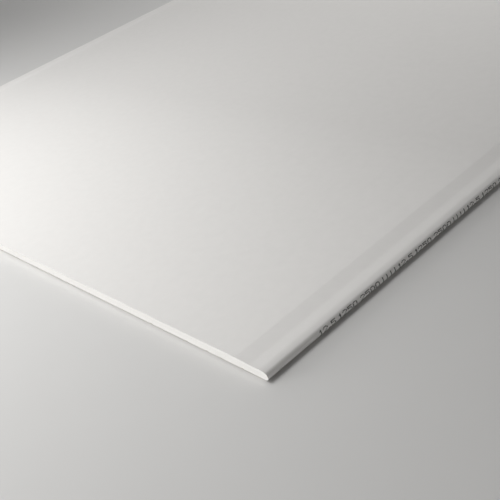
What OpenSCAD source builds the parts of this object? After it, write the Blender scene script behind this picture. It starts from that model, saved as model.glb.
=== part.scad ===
// Plasterboard (drywall) sheet with tapered, half-round long edges and square cut ends.
//
// The sheet lies flat with its face side up: X runs across its width, Y along its length, Z up.
// The origin is the middle of its underside.
//
// The face paper covers the front, goes round both long edges and laps onto the back. The back paper
// is glued over those laps, so the sheet lies on it. The gypsum core fills what is between them and
// shows only at the two cut ends.

/* [Sheet] */
// Width, between the outermost lines of the two long edges
sheet_w = 1250; // [600:1:1500]
// Length, between the two cut ends
sheet_l = 2500; // [1800:1:3600]
// Thickness of the full sheet, with both papers
sheet_t = 12.5; // [9.5:0.5:19]

/* [Tapered edge] */
// Width of the slope that leads down from the face
slope_w = 26; // [15:1:40]
// Depth of that slope
slope_depth = 1.2; // [0.6:0.1:2]
// Share of the slope's width that is rounded at its top, and again at its foot
slope_rounding = 0.15; // [0.05:0.05:0.4]
// Width of the level floor of the taper
floor_w = 10; // [2:1:30]
// Radius of the broad shoulder between the floor and the half-round edge
shoulder_r = 45; // [30:5:90]
// Tilt of the face where the shoulder meets the half-round edge, in degrees
shoulder_tilt = 12; // [4:1:16]

/* [Paper] */
// Thickness of the face paper
face_paper_t = 0.35; // [0.2:0.05:0.6]
// Thickness of the back paper
back_paper_t = 0.35; // [0.2:0.05:0.6]
// Width of the face paper's lap on the back, measured from where the edge begins to round
lap_w = 26; // [15:1:50]
// Distance of the back paper's side from where the edge begins to round
back_margin = 4; // [1:1:12]

/* [Smoothness] */
// Flats that make up each half of a half-round edge, below and above its outermost line
edge_steps = 9; // [4:1:18]
// Flats that make up each shoulder
shoulder_steps = 4; // [2:1:12]

/* [Hidden] */

// Heights of the taper's floor and of the line where the shoulder meets the half-round edge
floor_z = sheet_t - slope_depth;
edge_top = floor_z - shoulder_r * (1 - cos(shoulder_tilt));

// The half-round edge runs from that line, which it leaves at the shoulder's tilt, round to the
// underside of the face paper's lap, which the back paper covers
edge_r = (edge_top - back_paper_t) / (1 + cos(shoulder_tilt));
edge_x = sheet_w / 2 - edge_r;
edge_z = back_paper_t + edge_r;

// Where the floor of the taper begins and ends, going inwards, and where the full face begins
floor_outer_x = edge_x - (shoulder_r - edge_r) * sin(shoulder_tilt);
floor_inner_x = floor_outer_x - floor_w;
face_x = floor_inner_x - slope_w;

// Where the lap ends and where the back paper ends
lap_x = edge_x - lap_w;
back_x = edge_x - back_margin;
core_bottom_z = back_paper_t;
lap_top_z = back_paper_t + face_paper_t;

// Angles of the half-round edge's points, from straight down to level and on up to the shoulder,
// which has the last one
edge_angles = concat(
    [for (i = [0:edge_steps - 1]) -90 + 90 * i / edge_steps],
    [for (i = [0:edge_steps - 1]) (90 - shoulder_tilt) * i / edge_steps]
);
function edge_points(skin) = [
    for (a = edge_angles)
        let (r = edge_r - skin)
        [edge_x + r * cos(a), edge_z + r * sin(a)]
];

// Points of the shoulder, from the half-round edge up to the floor. It is tangent to both.
function shoulder_points(skin) = [
    for (i = [0:shoulder_steps])
        let (a = shoulder_tilt * (1 - i / shoulder_steps), r = shoulder_r - skin)
        [floor_outer_x + r * sin(a), floor_z - shoulder_r + r * cos(a)]
];

// Share of the slope's depth at a share of its width: straight, with a parabola at each end
function slope_rise(u) =
    let (e = slope_rounding, k = 2 * e * (1 - e))
    u < e ? u * u / k : u > 1 - e ? 1 - (1 - u) * (1 - u) / k : (u - e / 2) / (1 - e);

// Points of the slope, from the floor up to the face
function slope_points(skin) =
    let (e = slope_rounding)
    [for (u = [0, e / 2, e, 1 - e, 1 - e / 2, 1])
        [floor_inner_x - slope_w * u, floor_z + slope_depth * slope_rise(u) - skin]];

// Right half of the sheet's section from the underside of the edge to the full face, less a skin.
// Both sides of the face paper and the core's outside come from this one outline.
function right_outline(skin) = concat(edge_points(skin), shoulder_points(skin), slope_points(skin));

// The same for both halves, from the right edge's underside to the left edge's
function whole_outline(skin) = with_mirror(right_outline(skin));
function with_mirror(points) = concat(points, [for (p = reversed(points)) [-p.x, p.y]]);
function reversed(points) = [for (i = [len(points) - 1:-1:0]) points[i]];

// Extrudes a section drawn across the width along the whole length of the sheet
module along_length() {
    translate([0, sheet_l / 2, 0])
        rotate([90, 0, 0])
            linear_extrude(height = sheet_l)
                children();
}

module gypsum_core() {
    // The core's underside steps up over each lap
    underside = [
        [-lap_x, lap_top_z],
        [-lap_x, core_bottom_z],
        [lap_x, core_bottom_z],
        [lap_x, lap_top_z]
    ];
    color("#f3f2ee")
        along_length()
            polygon(concat(underside, whole_outline(face_paper_t)));
}

module face_paper() {
    outside = concat([[lap_x, core_bottom_z]], whole_outline(0), [[-lap_x, core_bottom_z]]);
    inside = concat([[lap_x, lap_top_z]], whole_outline(face_paper_t), [[-lap_x, lap_top_z]]);
    color("#d9d9d6")
        along_length()
            polygon(concat(outside, reversed(inside)));
}

module back_paper() {
    color("#b5b0a6")
        along_length()
            translate([-back_x, 0])
                square([2 * back_x, back_paper_t]);
}

gypsum_core();
face_paper();
back_paper();
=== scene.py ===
"""Finishes for a plasterboard sheet with tapered, half-round long edges and square cut ends.

The sheet lies flat with its face up: X runs across its width, Y along its length and Z up, in metres.
Three detailed pieces stand for the three plain solids of the frame: the face paper, the foamed gypsum
core and the back paper. The numbers printed along one long edge are a fourth piece.
"""

import math

import bmesh
import bpy
import numpy
from bpy.props import FloatProperty, FloatVectorProperty, IntProperty, PointerProperty
from mathutils import Matrix, Vector, geometry, noise


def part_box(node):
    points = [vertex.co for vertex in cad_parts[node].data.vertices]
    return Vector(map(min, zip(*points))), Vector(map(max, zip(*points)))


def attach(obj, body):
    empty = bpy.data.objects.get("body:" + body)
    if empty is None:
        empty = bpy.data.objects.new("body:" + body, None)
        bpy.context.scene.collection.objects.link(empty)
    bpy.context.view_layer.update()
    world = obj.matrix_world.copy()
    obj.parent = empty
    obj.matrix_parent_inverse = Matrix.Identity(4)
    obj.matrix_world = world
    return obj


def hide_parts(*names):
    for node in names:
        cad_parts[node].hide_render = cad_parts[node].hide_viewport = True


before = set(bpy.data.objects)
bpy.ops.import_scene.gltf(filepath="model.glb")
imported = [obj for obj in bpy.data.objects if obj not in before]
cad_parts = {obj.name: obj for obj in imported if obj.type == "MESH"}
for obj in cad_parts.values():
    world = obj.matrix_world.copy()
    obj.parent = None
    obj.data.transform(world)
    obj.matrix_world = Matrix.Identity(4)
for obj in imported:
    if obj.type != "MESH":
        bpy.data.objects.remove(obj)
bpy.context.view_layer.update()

bl_info = {
    "name": "Plasterboard Sheet",
    "version": (1, 0, 0),
    "blender": (4, 5, 0),
    "location": "3D View > Sidebar > Plasterboard",
    "description": "Adds the papers, core and edge print of a plasterboard sheet, and a studio for it",
    "category": "Add Mesh",
}

MM = 0.001

# The sheet's own sizes, from the frame
FACE_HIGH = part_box("face_paper")[1]
CORE_LOW, CORE_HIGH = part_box("gypsum_core")
BACK_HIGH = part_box("back_paper")[1]
HALF_WIDTH = FACE_HIGH.x
HALF_LENGTH = FACE_HIGH.y
THICKNESS = FACE_HIGH.z
FACE_PAPER = FACE_HIGH.x - CORE_HIGH.x
BACK_PAPER = BACK_HIGH.z
NEAR_CORNER = Vector((HALF_WIDTH, -HALF_LENGTH, 0))


def linear(hex_code):
    """Linear red, green, blue and alpha of an sRGB colour such as "#dfdedb"."""
    channels = [int(hex_code[i:i + 2], 16) / 255 for i in (1, 3, 5)]
    return [c / 12.92 if c <= 0.04045 else ((c + 0.055) / 1.055) ** 2.4 for c in channels] + [1]


def colour(name, description, hex_code):
    """A colour property whose default is an sRGB hex value."""
    return FloatVectorProperty(
        name=name, description=description, default=linear(hex_code),
        size=4, min=0, max=1, subtype="COLOR",
    )


def length(name, description, default_mm):
    """A length property whose default is in millimetres."""
    return FloatProperty(
        name=name, description=description, default=default_mm * MM, min=0, unit="LENGTH", precision=5,
    )


# ---------------------------------------------------------------------------------------------------
# Sizes and colours that can be changed


class SectionSizes(bpy.types.PropertyGroup):
    """The tapered edge's section, as the frame has it."""

    slope_width: length("Slope Width", "Width of the slope that leads down from the face", 26)
    slope_depth: length("Slope Depth", "Depth of that slope", 1.2)
    slope_rounding: FloatProperty(
        name="Slope Rounding", description="Share of the slope's width that is rounded at each end",
        default=0.15, min=0.05, max=0.4, subtype="FACTOR",
    )
    floor_width: length("Floor Width", "Width of the level floor of the taper", 10)
    shoulder_radius: length("Shoulder Radius", "Radius between the floor and the half-round edge", 45)
    shoulder_tilt: FloatProperty(
        name="Shoulder Tilt", description="Tilt of the face where the half-round edge begins",
        default=math.radians(12), min=math.radians(4), max=math.radians(16), subtype="ANGLE",
    )
    lap_width: length("Lap Width", "Width of the face paper's lap on the back", 26)
    arc_step: FloatProperty(
        name="Arc Step", description="Largest turn between two points of a round stretch",
        default=math.radians(3), min=math.radians(1), max=math.radians(15), subtype="ANGLE",
    )
    flat_step: length("Flat Step", "Distance between two points of a flat stretch", 2)


class CutEndSizes(bpy.types.PropertyGroup):
    """How the two cut ends are worn by the knife."""

    grain: length("Grain", "Distance between the points of the gypsum's cut surface", 1)
    set_back: length("Set Back", "Mean depth of the gypsum behind the end of the sheet", 0.12)
    drag: length("Drag", "Height of the long waves that the knife leaves", 0.08)
    crumb: length("Crumb", "Height of the small crumbs of the cut gypsum", 0.07)
    chip: length("Chip", "Depth of the chips that break out", 0.5)
    fray: length("Fray", "Unevenness of the papers' cut edges", 0.15)
    settle: length("Settle", "Distance from the end at which the papers lie even again", 3)


class PrintSizes(bpy.types.PropertyGroup):
    """The dotted numbers that an ink jet prints on the long edge."""

    start: length("Start", "Distance of the first number from the near end", 78)
    row_pitch: length("Row Pitch", "Distance between two rows of dots, round the edge", 0.95)
    column_pitch: length("Column Pitch", "Distance between two columns of dots, along the edge", 1.4)
    dot_height: length("Dot Height", "Size of one dot round the edge", 1.05)
    dot_length: length("Dot Length", "Size of one dot along the edge, which runs past the jet", 1.6)
    ink: length("Ink", "Thickness of the dried ink", 0.02)
    dot_sides: IntProperty(name="Dot Sides", description="Sides of one dot", default=8, min=4, max=16)
    bars: IntProperty(name="Bars", description="Plain bars after the numbers", default=4, min=0, max=20)


class Colours(bpy.types.PropertyGroup):
    """The colours of the sheet's pieces."""

    face_paper: colour("Face Paper", "Ivory-grey liner on the face", "#e0dedb")
    gypsum: colour("Gypsum", "Cut surface of the core", "#f1efec")
    back_paper: colour("Back Paper", "Recycled liner on the back", "#b9b4aa")
    ink: colour("Ink", "Numbers on the long edge", "#121214")


class StudioSettings(bpy.types.PropertyGroup):
    """The floor, the light and the camera."""

    floor: colour("Floor", "Pale painted floor", "#d0cfcd")
    walls: colour("Walls", "Pale studio walls, as the camera sees them", "#cac9c7")
    ambient: FloatProperty(
        name="Ambient", description="Even part of the light from the walls", default=0.1, min=0, max=2,
    )
    power: FloatProperty(
        name="Power", description="Factor on the power of all lamps", default=1, min=0, max=10,
    )
    focal_length: FloatProperty(
        name="Focal Length", description="The camera's lens", default=62.6, min=10, max=300, unit="CAMERA",
    )


def settings():
    """All settings of the scene's sheet."""
    return bpy.context.scene.plasterboard


class PlasterboardSettings(bpy.types.PropertyGroup):
    """Everything a user can change, in one place."""

    section: PointerProperty(type=SectionSizes)
    cut_end: PointerProperty(type=CutEndSizes)
    edge_print: PointerProperty(type=PrintSizes)
    colours: PointerProperty(type=Colours)
    studio: PointerProperty(type=StudioSettings)


# ---------------------------------------------------------------------------------------------------
# Materials


def find_socket(sockets, name):
    """The socket of that name or identifier. Only identifiers tell a Mix node's sockets apart."""
    return next(s for s in sockets if name in (s.identifier, s.name))


def add_node(tree, kind, values=None, links=None):
    """Adds a node, sets its attributes or sockets, and links outputs of other nodes to its sockets."""
    node = tree.nodes.new(kind)
    for name, value in (values or {}).items():
        if hasattr(node, name):
            setattr(node, name, value)
        else:
            find_socket(node.inputs, name).default_value = value
    for name, (source, output) in (links or {}).items():
        tree.links.new(find_socket(source.outputs, output), find_socket(node.inputs, name))
    return node


def new_material(name):
    """An empty node material, its tree and a node that gives places on the sheet in metres."""
    material = bpy.data.materials.new(name)
    material.use_nodes = True
    tree = material.node_tree
    tree.nodes.clear()
    return material, tree, add_node(tree, "ShaderNodeTexCoord")


def per_metre(size_mm):
    """Scale of a pattern whose grains are that many millimetres across."""
    return 1 / (size_mm * MM)


def finish_material(tree, shader):
    """Links a shader to the material's output."""
    add_node(tree, "ShaderNodeOutputMaterial", links={"Surface": (shader, "BSDF")})


def shaded(rgba, share):
    """A colour with its brightness multiplied by a share."""
    return [channel * share for channel in rgba[:3]] + [1]


def face_liner_paper(rgba):
    """Face liner: many plies of pulp couched wet and calendered, then stretched over the wet core.

    To the eye it is an even, matt ivory-grey with a soft, cloudy formation, fibres that lie along the
    sheet and a broad, hardly visible waviness.
    """
    material, tree, place = new_material("Face liner paper, calendered")
    # Fibres are 1 to 3 mm long and far thinner than shows, so they are drawn 0.8 mm wide and 6 mm long
    along = add_node(tree, "ShaderNodeMapping", {"Scale": (per_metre(0.8), per_metre(6), per_metre(0.8))},
                     {"Vector": (place, "Object")})
    fibres = add_node(tree, "ShaderNodeTexNoise", {"Scale": 1, "Detail": 3, "Roughness": 0.6},
                      {"Vector": (along, "Vector")})
    # Clumps of pulp make clouds about 14 mm across
    clouds = add_node(tree, "ShaderNodeTexNoise", {"Scale": per_metre(14), "Detail": 3, "Roughness": 0.55},
                      {"Vector": (place, "Object")})
    # The core's wet slurry leaves waves about 160 mm long under the paper
    waves = add_node(tree, "ShaderNodeTexNoise", {"Scale": per_metre(160), "Detail": 1, "Roughness": 0.4},
                     {"Vector": (place, "Object")})
    # Both change the tone by no more than 4.5% either way
    both = add_node(tree, "ShaderNodeMix", {"Factor": 0.35},
                    {"A_Float": (clouds, "Fac"), "B_Float": (fibres, "Fac")})
    tone = add_node(tree, "ShaderNodeMix",
                    {"data_type": "RGBA", "A_Color": shaded(rgba, 0.955), "B_Color": shaded(rgba, 1.045)},
                    {"Factor_Float": (both, "Result_Float")})
    wavy = add_node(tree, "ShaderNodeBump", {"Strength": 1, "Distance": 0.25 * MM},
                    {"Height": (waves, "Fac")})
    fibrous = add_node(tree, "ShaderNodeBump", {"Strength": 0.5, "Distance": 0.02 * MM},
                       {"Height": (fibres, "Fac"), "Normal": (wavy, "Normal")})
    rough = add_node(tree, "ShaderNodeMapRange", {"To Min": 0.62, "To Max": 0.74},
                     {"Value": (clouds, "Fac")})
    shader = add_node(tree, "ShaderNodeBsdfPrincipled", {"IOR": 1.47},
                      {"Base Color": (tone, "Result_Color"), "Roughness": (rough, "Result"),
                       "Normal": (fibrous, "Normal")})
    finish_material(tree, shader)
    return material


def cut_gypsum(rgba):
    """Gypsum plaster foamed with air, cast between the papers and cut through with a knife.

    To the eye it is a chalky, dead matt white, with fine crumbs and the open ends of small bubbles.
    """
    material, tree, place = new_material("Foamed gypsum, knife-cut")
    # Bubbles are 0.1 to 0.8 mm wide, and are drawn 1.1 mm apart, so that they show
    bubbles = add_node(tree, "ShaderNodeTexVoronoi", {"Scale": per_metre(1.1), "Randomness": 1},
                       {"Vector": (place, "Object")})
    open_ends = add_node(tree, "ShaderNodeMapRange", {"From Min": 0.1, "From Max": 0.35},
                         {"Value": (bubbles, "Distance")})
    # Crumbs of crystals about 2 mm across
    crumbs = add_node(tree, "ShaderNodeTexNoise", {"Scale": per_metre(2), "Detail": 4, "Roughness": 0.65},
                      {"Vector": (place, "Object")})
    # Painted shade: the hollows are up to a fifth darker, and the crumbs' tops are a little lighter as
    # painted highlight, following the same heights as the relief
    both = add_node(tree, "ShaderNodeMix", {"Factor": 0.5},
                    {"A_Float": (open_ends, "Result"), "B_Float": (crumbs, "Fac")})
    tone = add_node(tree, "ShaderNodeMix",
                    {"data_type": "RGBA", "A_Color": shaded(rgba, 0.8), "B_Color": shaded(rgba, 1.03)},
                    {"Factor_Float": (both, "Result_Float")})
    relief = add_node(tree, "ShaderNodeBump", {"Strength": 0.7, "Distance": 0.18 * MM},
                      {"Height": (both, "Result_Float")})
    shader = add_node(tree, "ShaderNodeBsdfPrincipled", {"Roughness": 0.95, "IOR": 1.52},
                      {"Base Color": (tone, "Result_Color"), "Normal": (relief, "Normal")})
    finish_material(tree, shader)
    return material


def back_liner_paper(rgba):
    """Back liner: unbleached board made of sorted waste paper and left rough.

    To the eye it is a warm grey-brown with pale and dark flecks, and rougher than the face.
    """
    material, tree, place = new_material("Back liner paper, recycled")
    # Flecks of old print and bark, about 1.5 mm across and stretched along the sheet
    along = add_node(tree, "ShaderNodeMapping", {"Scale": (per_metre(1.5), per_metre(4), per_metre(1.5))},
                     {"Vector": (place, "Object")})
    flecks = add_node(tree, "ShaderNodeTexNoise", {"Scale": 1, "Detail": 5, "Roughness": 0.75},
                      {"Vector": (along, "Vector")})
    # Patches of paler and darker pulp about 25 mm across
    clouds = add_node(tree, "ShaderNodeTexNoise", {"Scale": per_metre(25), "Detail": 3, "Roughness": 0.6},
                      {"Vector": (place, "Object")})
    both = add_node(tree, "ShaderNodeMix", {"Factor": 0.5},
                    {"A_Float": (clouds, "Fac"), "B_Float": (flecks, "Fac")})
    tone = add_node(tree, "ShaderNodeMix",
                    {"data_type": "RGBA", "A_Color": shaded(rgba, 0.78), "B_Color": shaded(rgba, 1.2)},
                    {"Factor_Float": (both, "Result_Float")})
    relief = add_node(tree, "ShaderNodeBump", {"Strength": 0.6, "Distance": 0.04 * MM},
                      {"Height": (flecks, "Fac")})
    shader = add_node(tree, "ShaderNodeBsdfPrincipled", {"Roughness": 0.85, "IOR": 1.47},
                      {"Base Color": (tone, "Result_Color"), "Normal": (relief, "Normal")})
    finish_material(tree, shader)
    return material


def jet_ink(rgba):
    """Black pigment ink sprayed on paper, which soaks most of it up.

    To the eye it is a matt charcoal, a little paler where a drop carried less ink.
    """
    material, tree, place = new_material("Pigment ink, sprayed")
    # Drops differ from one another over about 1.5 mm
    drops = add_node(tree, "ShaderNodeTexNoise", {"Scale": per_metre(1.5), "Detail": 2},
                     {"Vector": (place, "Object")})
    tone = add_node(tree, "ShaderNodeMix",
                    {"data_type": "RGBA", "A_Color": shaded(rgba, 0.7), "B_Color": shaded(rgba, 1.6)},
                    {"Factor_Float": (drops, "Fac")})
    shader = add_node(tree, "ShaderNodeBsdfPrincipled", {"Roughness": 0.8, "IOR": 1.47},
                      {"Base Color": (tone, "Result_Color")})
    finish_material(tree, shader)
    return material


def rolled_floor_paint(rgba):
    """Matt floor paint, rolled on: an even pale grey with no more than a breath of roller texture."""
    material, tree, place = new_material("Matt floor paint, rolled")
    # Roller marks about 60 mm wide
    marks = add_node(tree, "ShaderNodeTexNoise", {"Scale": per_metre(60), "Detail": 2},
                     {"Vector": (place, "Object")})
    tone = add_node(tree, "ShaderNodeMix",
                    {"data_type": "RGBA", "A_Color": shaded(rgba, 0.99), "B_Color": shaded(rgba, 1.01)},
                    {"Factor_Float": (marks, "Fac")})
    shader = add_node(tree, "ShaderNodeBsdfPrincipled", {"Roughness": 0.9},
                      {"Base Color": (tone, "Result_Color")})
    finish_material(tree, shader)
    return material


# ---------------------------------------------------------------------------------------------------
# Shapes


class Section:
    """The sheet's section across its width, as points (x, z), in metres."""

    def __init__(self, sizes):
        self.sizes = sizes
        self.floor_z = THICKNESS - sizes.slope_depth
        edge_top = self.floor_z - sizes.shoulder_radius * (1 - math.cos(sizes.shoulder_tilt))
        self.edge_radius = (edge_top - BACK_PAPER) / (1 + math.cos(sizes.shoulder_tilt))
        self.edge_x = HALF_WIDTH - self.edge_radius
        self.edge_z = BACK_PAPER + self.edge_radius
        shoulder_width = (sizes.shoulder_radius - self.edge_radius) * math.sin(sizes.shoulder_tilt)
        self.floor_outer_x = self.edge_x - shoulder_width
        self.floor_inner_x = self.floor_outer_x - sizes.floor_width
        self.face_x = self.floor_inner_x - sizes.slope_width
        self.lap_x = self.edge_x - sizes.lap_width

    def on_edge(self, angle, skin=0.0):
        """Point of the half-round edge at an angle above its outermost line, under a skin."""
        radius = self.edge_radius - skin
        return self.edge_x + radius * math.cos(angle), self.edge_z + radius * math.sin(angle)

    def flat(self, start, end):
        """Points of a level stretch, evenly spaced, without its last one."""
        steps = max(1, round(abs(end[0] - start[0]) / self.sizes.flat_step))
        return [(start[0] + (end[0] - start[0]) * i / steps, start[1]) for i in range(steps)]

    def lower_half(self, skin):
        """Points from the end of the right lap's underside to the edge's outermost line."""
        steps = math.ceil(math.pi / 2 / self.sizes.arc_step)
        lap_z = BACK_PAPER + skin
        lap = self.flat((self.lap_x, lap_z), (self.edge_x, lap_z))
        return lap + [self.on_edge(math.pi / 2 * (i / steps - 1), skin) for i in range(steps)]

    def upper_half(self, skin):
        """Points from the edge's outermost line over the shoulder and the slope to the full face.

        Those of the shoulder and the slope lie twice as close, because light glances off both.
        """
        sizes = self.sizes
        turn = math.pi / 2 - sizes.shoulder_tilt
        steps = math.ceil(turn / sizes.arc_step)
        edge = [self.on_edge(turn * i / steps, skin) for i in range(steps)]
        steps = 2 * math.ceil(sizes.shoulder_tilt / sizes.arc_step)
        radius = sizes.shoulder_radius - skin
        shoulder = []
        for i in range(steps):
            angle = sizes.shoulder_tilt * (1 - i / steps)
            x = self.floor_outer_x + radius * math.sin(angle)
            shoulder.append((x, self.floor_z - sizes.shoulder_radius + radius * math.cos(angle)))
        level = self.floor_z - skin
        floor = self.flat((self.floor_outer_x, level), (self.floor_inner_x, level))
        steps = 2 * round(sizes.slope_width / sizes.flat_step)
        slope = []
        for i in range(steps):
            x = self.floor_inner_x - sizes.slope_width * i / steps
            slope.append((x, level + sizes.slope_depth * self.slope_rise(i / steps)))
        return edge + shoulder + floor + slope

    def slope_rise(self, share):
        """Share of the slope's depth at a share of its width: straight, with a parabola at each end."""
        rounding = self.sizes.slope_rounding
        spread = 2 * rounding * (1 - rounding)
        if share < rounding:
            return share * share / spread
        if share > 1 - rounding:
            return 1 - (1 - share) ** 2 / spread
        return (share - rounding / 2) / (1 - rounding)

    def outline(self, skin):
        """Points under a skin from the right lap's end, over the face, to the left lap's end."""
        face_z = THICKNESS - skin
        right = self.lower_half(skin) + self.upper_half(skin) + [(self.face_x, face_z)]
        face = self.flat((self.face_x, face_z), (-self.face_x, face_z))[1:]
        return right + face + [(-x, z) for x, z in reversed(right)]


# Seeds of the noises that wear the cut ends. The near end takes one less and the far end one more.
FRAY_LONG = 11
FRAY_SHORT = 15
DRAG = 21
CRUMB = 25
CHIP = 29


def wave(x, z, size, seed):
    """Smooth noise from -1 to 1 whose waves are about that size, different for each seed."""
    layer_gap = 7.3
    return noise.noise(Vector((x / size, z / size, layer_gap * seed)))


def frayed(x, z, end, sizes):
    """Distance of a paper's cut edge behind the end of the sheet. End is -1 or 1."""
    mean = 0.45
    long_waves = 0.5 * wave(x, z, 9 * MM, FRAY_LONG + end)
    short_waves = 0.6 * wave(x, z, 2.5 * MM, FRAY_SHORT + end)
    return sizes.fray * max(0.0, mean + long_waves + short_waves)


def crumbled(x, z, end, sizes):
    """Distance of the cut gypsum behind the end of the sheet. End is -1 or 1.

    The knife scores the upper part, and the lower part breaks more roughly.
    """
    # Shares of the thickness where the rough part begins to give way to the scored one, and where it ends
    rough_to, scored_from = 0.3, 0.6
    rough = 1 - min(1.0, max(0.0, (z / THICKNESS - rough_to) / (scored_from - rough_to)))
    # The drag waves are three times as long as high. The rough part's crumbs stand out twice as far.
    depth = sizes.set_back + sizes.drag * wave(x, 3 * z, 30 * MM, DRAG + end)
    depth += sizes.crumb * (1 + rough) * wave(x, z, 2.2 * MM, CRUMB + end)
    # Only the tops of these waves break out, and more of them in the rough part. They are seldom a third
    # of a wave above that level, where a chip has its full depth.
    level = 0.5 - 0.12 * rough
    steepness = 3
    chips = max(0.0, wave(x, 1.5 * z, 7 * MM, CHIP + end) - level)
    return max(0.0, depth + sizes.chip * steepness * chips)


def smooth_piece(name, vertices, faces, material):
    """A piece with outward normals, smooth but for its sharp edges."""
    sharp_from = math.radians(40)
    shape = bmesh.new()
    points = [shape.verts.new(v) for v in vertices]
    for face in faces:
        shape.faces.new([points[i] for i in face])
    bmesh.ops.recalc_face_normals(shape, faces=shape.faces)
    mesh = bpy.data.meshes.new(name)
    shape.to_mesh(mesh)
    shape.free()
    mesh.materials.append(material)
    mesh.shade_smooth()
    mesh.set_sharp_from_angle(angle=sharp_from)
    piece = bpy.data.objects.new(name, mesh)
    bpy.context.scene.collection.objects.link(piece)
    return piece


def paper_shape(outside, inside, sizes):
    """Vertices and faces of a paper between two outlines with paired points, cut at both ends."""
    loop = outside + inside[::-1]
    count = len(loop)
    settled = HALF_LENGTH - sizes.settle
    vertices = [(x, frayed(x, z, -1, sizes) - HALF_LENGTH, z) for x, z in loop]
    vertices += [(x, -settled, z) for x, z in loop]
    vertices += [(x, settled, z) for x, z in loop]
    vertices += [(x, HALF_LENGTH - frayed(x, z, 1, sizes), z) for x, z in loop]
    faces = []
    for ring in range(3):
        for i in range(count):
            near, far = ring * count, (ring + 1) * count
            j = (i + 1) % count
            faces.append((near + i, near + j, far + j, far + i))
    for first in (0, 3 * count):
        for i in range(len(outside) - 1):
            last = first + count - 1
            faces.append((first + i, first + i + 1, last - i - 1, last - i))
    return vertices, faces


def filled_outline(boundary, top, bottom, grain):
    """Points and triangles that fill a boundary, and the numbers that its points have among them.

    Inside it the points lie on a jittered grid, between the outlines top and bottom.
    """
    jitter = 0.35
    margin = 0.5 * grain
    # Neighbours are this far apart in the noise, and so are not shifted alike. Nor are x and z.
    spacing, apart = 3.7, Vector((0, 0, 9))
    points = list(boundary)
    top_x, top_z = zip(*sorted(top))
    bottom_x, bottom_z = zip(*sorted(bottom))
    columns = round((top_x[-1] - top_x[0]) / grain)
    rows = round(THICKNESS / grain)
    for i in range(1, columns):
        for j in range(rows):
            spot = Vector((i, j, 0)) * spacing
            x = top_x[0] + grain * (i + jitter * noise.noise(spot))
            z = grain * (j + 0.5 + jitter * noise.noise(spot + apart))
            lowest = numpy.interp(x, bottom_x, bottom_z) + margin
            highest = numpy.interp(x, top_x, top_z) - margin
            if lowest < z < highest:
                points.append((x, z))
    edge = list(range(len(boundary)))
    inside_only = 1
    merged_within = 1e-7
    found = geometry.delaunay_2d_cdt([Vector(p) for p in points], [], [edge], inside_only, merged_within)
    places, _, triangles, sources = found[:4]
    return [tuple(p) for p in places], triangles, {s[0]: i for i, s in enumerate(sources) if s}


def dot(angle, y, section, sizes):
    """Vertices and faces of one flat dot of ink on the half-round edge."""
    count = sizes.dot_sides
    vertices = []
    for lift in (-sizes.ink, sizes.ink):
        for i in range(count):
            turn = 2 * math.pi * (i + 0.5) / count
            slant = sizes.dot_height / 2 * math.sin(turn)
            x, z = section.on_edge(angle, -lift)
            x -= slant * math.sin(angle)
            z += slant * math.cos(angle)
            vertices.append((x, y + sizes.dot_length / 2 * math.cos(turn), z))
    sides = [(i, (i + 1) % count, count + (i + 1) % count, count + i) for i in range(count)]
    return vertices, sides + [tuple(range(count)), tuple(range(count, 2 * count))]


# Dots of each character, from the top row down
CHARACTERS = {
    "0": (".###.", "#...#", "#...#", "#...#", "#...#", "#...#", ".###."),
    "1": (".#.", "##.", ".#.", ".#.", ".#.", ".#.", "###"),
    "2": (".###.", "#...#", "....#", "...#.", "..#..", ".#...", "#####"),
    "3": (".###.", "#...#", "....#", "..##.", "....#", "#...#", ".###."),
    "4": ("...#.", "..##.", ".#.#.", "#..#.", "#####", "...#.", "...#."),
    "5": ("#####", "#....", "####.", "....#", "....#", "#...#", ".###."),
    "6": (".###.", "#....", "#....", "####.", "#...#", "#...#", ".###."),
    "7": ("#####", "....#", "...#.", "..#..", "..#..", ".#...", ".#..."),
    "8": (".###.", "#...#", "#...#", ".###.", "#...#", "#...#", ".###."),
    "9": (".###.", "#...#", "#...#", ".####", "....#", "....#", ".###."),
    ".": ("..", "..", "..", "..", "..", "##", "##"),
    "|": ("#", "#", "#", "#", "#", "#", "#"),
    " ": ("..", "..", "..", "..", "..", "..", ".."),
}


def dot_columns(text):
    """Columns of dots of a text, each from the top row down, with one blank column after each character."""
    columns = []
    for character in text:
        columns += ["".join(dots) for dots in zip(*CHARACTERS[character])]
        columns.append("")
    return columns


# ---------------------------------------------------------------------------------------------------
# Operators


class PLASTERBOARD_OT_face_paper(bpy.types.Operator):
    """Add the paper that covers the face, goes round the long edges and laps onto the back"""

    bl_idname = "plasterboard.face_paper"
    bl_label = "Face Paper"

    def execute(self, context):
        section = Section(settings().section)
        outside = section.outline(0)
        inside = section.outline(FACE_PAPER)
        vertices, faces = paper_shape(outside, inside, settings().cut_end)
        material = face_liner_paper(settings().colours.face_paper)
        piece = smooth_piece("face_liner", vertices, faces, material)
        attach(piece, "root")
        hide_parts("face_paper")
        return {"FINISHED"}


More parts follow.
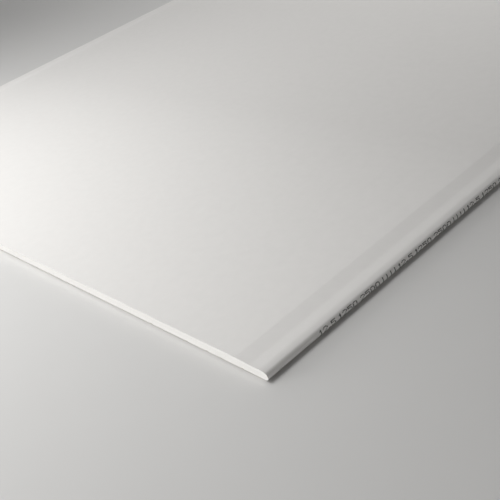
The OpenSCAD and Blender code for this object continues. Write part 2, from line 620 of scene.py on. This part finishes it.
class PLASTERBOARD_OT_core(bpy.types.Operator):
    """Add the gypsum core, whose cut surface shows at both ends"""

    bl_idname = "plasterboard.core"
    bl_label = "Gypsum Core"

    def execute(self, context):
        section = Section(settings().section)
        cut = settings().cut_end
        over = section.outline(FACE_PAPER)
        under = section.flat((-section.lap_x, CORE_LOW.z), (section.lap_x, CORE_LOW.z))
        boundary = over + under + [(section.lap_x, CORE_LOW.z)]
        # What bounds the cut surface from below and from above, at each place across the width
        lower = section.lower_half(FACE_PAPER) + under + [section.on_edge(0, FACE_PAPER)]
        upper = section.upper_half(FACE_PAPER)
        top = upper + [(-x, z) for x, z in upper]
        bottom = lower + [(-x, z) for x, z in lower]
        places, triangles, index = filled_outline(boundary, top, bottom, cut.grain)
        count = len(places)
        vertices = [(x, crumbled(x, z, -1, cut) - HALF_LENGTH, z) for x, z in places]
        vertices += [(x, HALF_LENGTH - crumbled(x, z, 1, cut), z) for x, z in places]
        faces = list(triangles) + [[count + i for i in t] for t in triangles]
        for i in range(len(boundary)):
            a, b = index[i], index[(i + 1) % len(boundary)]
            faces.append((a, b, count + b, count + a))
        material = cut_gypsum(settings().colours.gypsum)
        piece = smooth_piece("foamed_core", vertices, faces, material)
        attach(piece, "root")
        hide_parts("gypsum_core")
        return {"FINISHED"}


class PLASTERBOARD_OT_back_paper(bpy.types.Operator):
    """Add the paper on the back, glued over the face paper's laps"""

    bl_idname = "plasterboard.back_paper"
    bl_label = "Back Paper"

    def execute(self, context):
        section = Section(settings().section)
        half = BACK_HIGH.x
        # The slitting knife leaves the long sides a little slanted
        slant = 0.25 * BACK_PAPER
        outside = section.flat((-half, 0), (half, 0)) + [(half, 0)]
        inside = [(x, BACK_PAPER) for x, _ in outside]
        outside[0] = (-half + slant, 0)
        outside[-1] = (half - slant, 0)
        vertices, faces = paper_shape(outside, inside, settings().cut_end)
        material = back_liner_paper(settings().colours.back_paper)
        piece = smooth_piece("back_liner", vertices, faces, material)
        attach(piece, "root")
        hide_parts("back_paper")
        return {"FINISHED"}


class PLASTERBOARD_OT_edge_print(bpy.types.Operator):
    """Add the sheet's thickness, width and length in dotted numbers along one long edge"""

    bl_idname = "plasterboard.edge_print"
    bl_label = "Edge Print"

    def execute(self, context):
        section = Section(settings().section)
        sizes = settings().edge_print
        numbers = [round(v / MM, 1) for v in (THICKNESS, 2 * HALF_WIDTH, 2 * HALF_LENGTH)]
        text = " ".join(f"{number:g}" for number in numbers) + " " + "| " * sizes.bars
        columns = dot_columns(text)
        # The middle row lies on the edge's outermost line
        middle_row = len(CHARACTERS["0"]) // 2
        group = len(columns) * sizes.column_pitch
        room = 2 * HALF_LENGTH - sizes.start
        vertices, faces = [], []
        for repeat in range(int(room / group)):
            start = sizes.start - HALF_LENGTH + repeat * group
            for place, dots in enumerate(columns):
                for row, mark in enumerate(dots):
                    if mark == "#":
                        angle = (middle_row - row) * sizes.row_pitch / section.edge_radius
                        points, sides = dot(angle, start + place * sizes.column_pitch, section, sizes)
                        faces += [[len(vertices) + i for i in side] for side in sides]
                        vertices += points
        material = jet_ink(settings().colours.ink)
        piece = smooth_piece("edge_numbers", vertices, faces, material)
        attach(piece, "root")
        return {"FINISHED"}


def add_softbox(name, place, target, width, height, power, spread=180):
    """An unseen rectangular lamp with a grid that limits its beam to a spread in degrees.

    Place and target are in metres from the sheet's near corner, width and height in metres, and power
    in watts.
    """
    lamp = bpy.data.lights.new(name, "AREA")
    lamp.shape = "RECTANGLE"
    lamp.size = width
    lamp.size_y = height
    lamp.energy = power * settings().studio.power
    lamp.spread = math.radians(spread)
    piece = bpy.data.objects.new(name, lamp)
    bpy.context.scene.collection.objects.link(piece)
    place, target = Vector(place), Vector(target)
    piece.location = NEAR_CORNER + place
    piece.rotation_euler = (target - place).to_track_quat("-Z", "Y").to_euler()
    piece.visible_camera = False


# Lit patches on the studio's far walls, named from the near end of the sheet: azimuth from +X in
# degrees, sharpness and brightness
LIT_WALLS = {
    "left": (180, 10, 4),
    "near left": (225, 30, 19.4),
    "near right": (300, 30, 4),
    "right": (350, 30, 1.3),
}

# The camera's place, in metres from the near corner
CAMERA_PLACE = (0.5619, -0.3721, 0.5454)
# Where its back faces, as a turn from -Y towards +X and a rise, and its roll, in degrees
CAMERA_AZIMUTH = 54.86
CAMERA_ELEVATION = 30.35
CAMERA_ROLL = -16.68


class PLASTERBOARD_OT_studio(bpy.types.Operator):
    """Add a pale floor, soft light and the camera"""

    bl_idname = "plasterboard.studio"
    bl_label = "Studio"

    def execute(self, context):
        scene = context.scene
        studio = settings().studio
        self.add_floor(studio)
        self.add_surroundings(scene, studio)
        add_softbox(
            "Key", place=(-1.4, -0.1, 1.7), target=(-0.9, -0.72, 0),
            width=1.6, height=1.2, power=17.8, spread=100,
        )
        add_softbox(
            "Far fill", place=(-0.6, 1.2, 1.7), target=(-0.6, 5.1, 0),
            width=2.4, height=1.4, power=34,
        )
        self.add_camera(scene, studio)
        scene.view_settings.view_transform = "Standard"
        return {"FINISHED"}

    def add_floor(self, studio):
        """A wide round floor, just below the sheet."""
        radius = 30
        drop = 0.1 * MM
        shape = bmesh.new()
        bmesh.ops.create_circle(shape, cap_ends=True, segments=96, radius=radius)
        mesh = bpy.data.meshes.new("floor")
        shape.to_mesh(mesh)
        shape.free()
        mesh.materials.append(rolled_floor_paint(studio.floor))
        floor = bpy.data.objects.new("floor", mesh)
        floor.location.z = -drop
        bpy.context.scene.collection.objects.link(floor)

    def add_surroundings(self, scene, studio):
        """Far pale walls with lit patches. The camera sees them plain."""
        world = bpy.data.worlds.new("Studio walls")
        world.use_nodes = True
        tree = world.node_tree
        tree.nodes.clear()
        place = add_node(tree, "ShaderNodeTexCoord")
        glow = add_node(tree, "ShaderNodeValue")
        glow.outputs[0].default_value = studio.ambient
        for azimuth, sharpness, brightness in LIT_WALLS.values():
            turn = math.radians(azimuth)
            facing = add_node(tree, "ShaderNodeVectorMath", {"operation": "DOT_PRODUCT"},
                              {"Vector": (place, "Generated")})
            facing.inputs[1].default_value = (math.cos(turn), math.sin(turn), 0)
            ahead = add_node(tree, "ShaderNodeMath", {"operation": "MAXIMUM", "Value_001": 0},
                             {"Value": (facing, "Value")})
            patch = add_node(tree, "ShaderNodeMath", {"operation": "POWER", "Value_001": sharpness},
                             {"Value": (ahead, "Value")})
            lit = add_node(tree, "ShaderNodeMath", {"operation": "MULTIPLY", "Value_001": brightness},
                           {"Value": (patch, "Value")})
            glow = add_node(tree, "ShaderNodeMath", {"operation": "ADD"},
                            {"Value": (glow, "Value"), "Value_001": (lit, "Value")})
        light = add_node(tree, "ShaderNodeBackground", {"Color": linear("#ffffff")},
                         {"Strength": (glow, "Value")})
        seen = add_node(tree, "ShaderNodeBackground", {"Color": studio.walls})
        ray = add_node(tree, "ShaderNodeLightPath")
        both = add_node(tree, "ShaderNodeMixShader", {},
                        {"Fac": (ray, "Is Camera Ray"), "Shader": (light, "Background"),
                         "Shader_001": (seen, "Background")})
        add_node(tree, "ShaderNodeOutputWorld", links={"Surface": (both, "Shader")})
        scene.world = world

    def add_camera(self, scene, studio):
        """A camera above and beyond the near corner, turned so that both edges run down to it in view."""
        azimuth, elevation = math.radians(CAMERA_AZIMUTH), math.radians(CAMERA_ELEVATION)
        roll = Matrix.Rotation(math.radians(CAMERA_ROLL), 3, "Z")
        back = Vector((
            math.sin(azimuth) * math.cos(elevation),
            -math.cos(azimuth) * math.cos(elevation),
            math.sin(elevation),
        ))
        right = Vector((0, 0, 1)).cross(back).normalized()
        level = Matrix((right, back.cross(right), back)).transposed()
        lens = bpy.data.cameras.new("Camera")
        lens.lens = studio.focal_length
        camera = bpy.data.objects.new("Camera", lens)
        camera.matrix_world = Matrix.LocRotScale(NEAR_CORNER + Vector(CAMERA_PLACE), level @ roll, None)
        scene.collection.objects.link(camera)
        scene.camera = camera


class PLASTERBOARD_PT_sheet(bpy.types.Panel):
    """Sizes, colours and pieces of the sheet"""

    bl_idname = "PLASTERBOARD_PT_sheet"
    bl_label = "Plasterboard Sheet"
    bl_space_type = "VIEW_3D"
    bl_region_type = "UI"
    bl_category = "Plasterboard"

    def draw(self, context):
        layout = self.layout
        for operator in OPERATORS:
            layout.operator(operator.bl_idname)
        for group in ("section", "cut_end", "edge_print", "colours", "studio"):
            box = layout.box()
            box.label(text=group.replace("_", " ").title())
            sizes = getattr(context.scene.plasterboard, group)
            for name in sizes.__annotations__:
                box.prop(sizes, name)


OPERATORS = (
    PLASTERBOARD_OT_face_paper,
    PLASTERBOARD_OT_core,
    PLASTERBOARD_OT_back_paper,
    PLASTERBOARD_OT_edge_print,
    PLASTERBOARD_OT_studio,
)
CLASSES = (
    SectionSizes,
    CutEndSizes,
    PrintSizes,
    Colours,
    StudioSettings,
    PlasterboardSettings,
) + OPERATORS + (PLASTERBOARD_PT_sheet,)


def register():
    """Adds the classes, and the settings to every scene."""
    for item in CLASSES:
        bpy.utils.register_class(item)
    bpy.types.Scene.plasterboard = PointerProperty(type=PlasterboardSettings)


def unregister():
    """Takes the settings and the classes away again."""
    del bpy.types.Scene.plasterboard
    for item in reversed(CLASSES):
        bpy.utils.unregister_class(item)


def main():
    """Builds the sheet and its studio."""
    register()
    bpy.ops.plasterboard.face_paper()
    bpy.ops.plasterboard.core()
    bpy.ops.plasterboard.back_paper()
    bpy.ops.plasterboard.edge_print()
    bpy.ops.plasterboard.studio()


if __name__ == "__main__":
    main()
